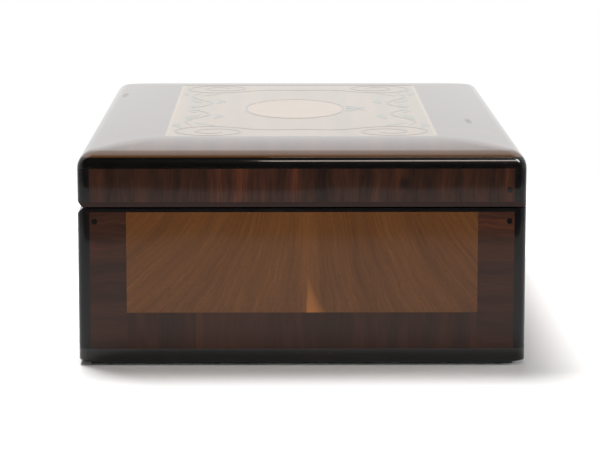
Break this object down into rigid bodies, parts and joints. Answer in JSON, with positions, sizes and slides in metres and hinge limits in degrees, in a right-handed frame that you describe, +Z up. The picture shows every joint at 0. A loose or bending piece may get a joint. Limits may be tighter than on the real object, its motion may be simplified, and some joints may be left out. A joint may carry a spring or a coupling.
{
  "type": "cylinder music box",
  "caption": "Rectangular veneered music box with an inlaid lid over a pinned cylinder, steel comb, spring barrel and fly governor.",
  "frame": {"origin": "centre of the footprint at the underside of the baize", "axes": "+X along the length towards the right end, -Y to the front with the lock, +Y to the hinges, +Z up"},
  "size_m": [0.36, 0.24, 0.1188],
  "materials": {
    "mahogany": "French polished, figured veneer",
    "rosewood": "French polished, streaked veneer",
    "ebonised_wood": "stained black and polished",
    "satinwood": "polished light veneer with inlay",
    "carcass_wood": "stained, satin",
    "baize": "napped",
    "brass": "lacquered",
    "steel": "bright",
    "glass": "clear"
  },
  "bodies": {
    "case": {"baize": "baize", "base_board": "carcass_wood", "base_edging": "ebonised_wood", "case_front": "carcass_wood", "case_back": "carcass_wood", "case_left_end": "carcass_wood", "case_right_end": "carcass_wood", "case_edging": "ebonised_wood", "left_panel": "mahogany", "right_panel": "mahogany", "front_panel": "mahogany", "back_panel": "mahogany", "case_plugs": "ebonised_wood", "crossband_uprights": "rosewood", "crossband_base": "rosewood", "left_partition": "carcass_wood", "right_partition": "carcass_wood", "hinge_leaves_lower": "brass", "hinge_pins": "steel", "lock_case": "brass", "escutcheon": "brass", "bedplate_bearers": "carcass_wood", "bedplate": "brass", "movement_screws": "steel", "comb_base": "brass", "comb": "steel", "left_bearings": "brass", "right_bearing": "brass", "governor_frame": "brass", "governor_cock": "brass", "lever_plate": "brass"},
    "lid": {"lid_top": "rosewood", "lid_rails": "carcass_wood", "lid_edging": "ebonised_wood", "lid_moulding": "ebonised_wood", "lid_crossbands": "rosewood", "lid_panel": "satinwood", "lid_plugs": "ebonised_wood", "hinge_leaves_upper": "brass", "lock_staple": "brass"},
    "inner_lid": {"inner_lid_frame": "carcass_wood", "inner_lid_glass": "glass", "inner_lid_fittings": "brass"},
    "lock_bolt": {"lock_bolt": "steel"},
    "arbor": {"cylinder_arbor": "steel", "great_wheel": "brass"},
    "cylinder": {"pin_cylinder": "brass", "cylinder_pins": "steel"},
    "star": {"tune_star": "brass"},
    "barrel": {"spring_barrel": "brass", "barrel_wheel": "brass", "mainspring": "steel"},
    "winder": {"winding_arbor": "steel"},
    "lever": {"winding_lever": "steel"},
    "click": {"click": "steel"},
    "governor": {"governor_wheel": "brass"},
    "fly": {"worm_spindle": "steel", "fly_wings": "brass"},
    "stop_lever": {"stop_lever": "brass"},
    "change_lever": {"change_lever": "brass"}
  },
  "joints": [
    {"name": "lid_hinge", "type": "hinge", "parent": "case", "child": "lid", "pos_m": [0, 0.1172, 0.086], "axis": [-1, 0, 0], "range_deg": [0, 98]},
    {"name": "inner_lid_hinge", "type": "hinge", "parent": "case", "child": "inner_lid", "pos_m": [0, 0.1035, 0.0785], "axis": [-1, 0, 0], "range_deg": [0, 90]},
    {"name": "lock_bolt_slide", "type": "slide", "parent": "case", "child": "lock_bolt", "axis": [1, 0, 0], "range_m": [0, 0.005]},
    {"name": "arbor_spin", "type": "hinge", "parent": "case", "child": "arbor", "pos_m": [0, 0, 0.046], "axis": [1, 0, 0], "continuous": true},
    {"name": "tune_shift", "type": "slide", "parent": "arbor", "child": "cylinder", "axis": [1, 0, 0], "range_m": [0, 0.0025]},
    {"name": "star_turn", "type": "hinge", "parent": "cylinder", "child": "star", "pos_m": [0, 0, 0.057], "axis": [1, 0, 0], "continuous": true},
    {"name": "barrel_spin", "type": "hinge", "parent": "case", "child": "barrel", "pos_m": [0, 0.0306, 0.046], "axis": [1, 0, 0], "continuous": true},
    {"name": "governor_spin", "type": "hinge", "parent": "case", "child": "governor", "pos_m": [0, 0.0288, 0.046], "axis": [1, 0, 0], "continuous": true},
    {"name": "fly_spin", "type": "hinge", "parent": "case", "child": "fly", "pos_m": [0.1008, 0.0405, 0], "axis": [0, 0, 1], "continuous": true},
    {"name": "winding_lever_swing", "type": "hinge", "parent": "case", "child": "lever", "pos_m": [0, 0.0306, 0.046], "axis": [-1, 0, 0], "range_deg": [0, 75]},
    {"name": "winding_arbor_turn", "type": "hinge", "parent": "case", "child": "winder", "pos_m": [0, 0.0306, 0.046], "axis": [-1, 0, 0], "range_deg": [0, 75]},
    {"name": "click_lift", "type": "hinge", "parent": "case", "child": "click", "pos_m": [0, 0.04117, 0.06866], "axis": [1, 0, 0], "range_deg": [0, 12], "stiffness_Nm_per_rad": 0.002},
    {"name": "stop_lever_swing", "type": "hinge", "parent": "case", "child": "stop_lever", "pos_m": [0, -0.026, 0.046], "axis": [1, 0, 0], "range_deg": [0, 16]},
    {"name": "change_lever_swing", "type": "hinge", "parent": "case", "child": "change_lever", "pos_m": [0, 0.006, 0.046], "axis": [1, 0, 0], "range_deg": [0, 16]}
  ],
  "couplings": [
    {"joint": "inner_lid_hinge", "follows": "lid_hinge", "ratio": 0.9},
    {"joint": "barrel_spin", "follows": "arbor_spin", "ratio": -0.2},
    {"joint": "governor_spin", "follows": "arbor_spin", "ratio": -5},
    {"joint": "fly_spin", "follows": "arbor_spin", "ratio": 150},
    {"joint": "winding_arbor_turn", "follows": "winding_lever_swing", "ratio": 1}
  ]
}
